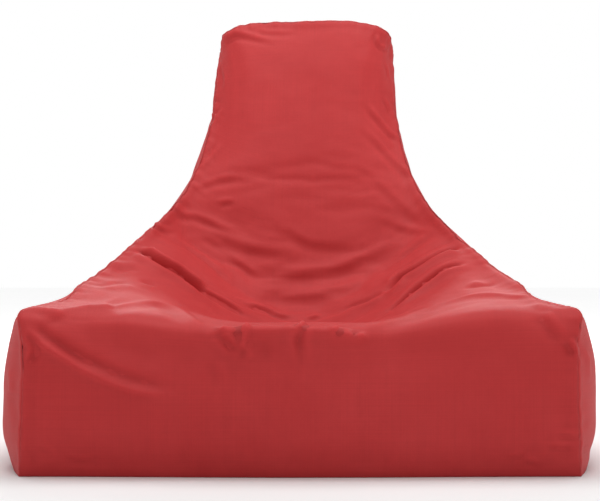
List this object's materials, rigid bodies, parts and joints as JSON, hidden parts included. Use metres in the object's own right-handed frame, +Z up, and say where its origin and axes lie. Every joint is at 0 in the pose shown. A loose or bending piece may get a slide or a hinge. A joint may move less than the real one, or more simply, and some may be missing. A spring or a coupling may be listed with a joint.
{
  "type": "bean bag chair",
  "caption": "Floor-standing lounge bean bag chair with a wide boxed front roll, a dished seat and a tall tapering backrest, sewn from fabric panels over loose bead filling.",
  "frame": {"origin": "on the floor, at the centre of the chair's bounding box", "axes": "+Z up; the chair faces -Y; +X is to the right as seen from the front"},
  "size_m": [0.9744, 0.935, 0.7937],
  "materials": {
    "cover_fabric": "matt red coated woven polyester with a soft sheen at grazing angles",
    "bead_foam": "white expanded polystyrene beads",
    "zip_tape": "red woven tape",
    "zip_coil": "red nylon coil",
    "zip_metal": "red enamelled die cast metal"
  },
  "bodies": {
    "chair": {"front_seat_back_panel": "cover_fabric", "left_side_panel": "cover_fabric", "right_side_panel": "cover_fabric", "head_panel": "cover_fabric", "rear_panel": "cover_fabric", "base_panel": "cover_fabric", "bead_filling": "bead_foam", "zip_tape_upper": "zip_tape", "zip_tape_lower": "zip_tape", "zip_coil_upper": "zip_coil", "zip_coil_lower": "zip_coil", "zip_stop_left": "zip_metal", "zip_stop_right": "zip_metal"},
    "zip_slider": {"zip_slider": "zip_metal"}
  },
  "joints": [
    {"name": "zip_travel", "type": "slide", "parent": "chair", "child": "zip_slider", "axis": [1, 0, 0], "range_m": [0, 0.545]}
  ]
}
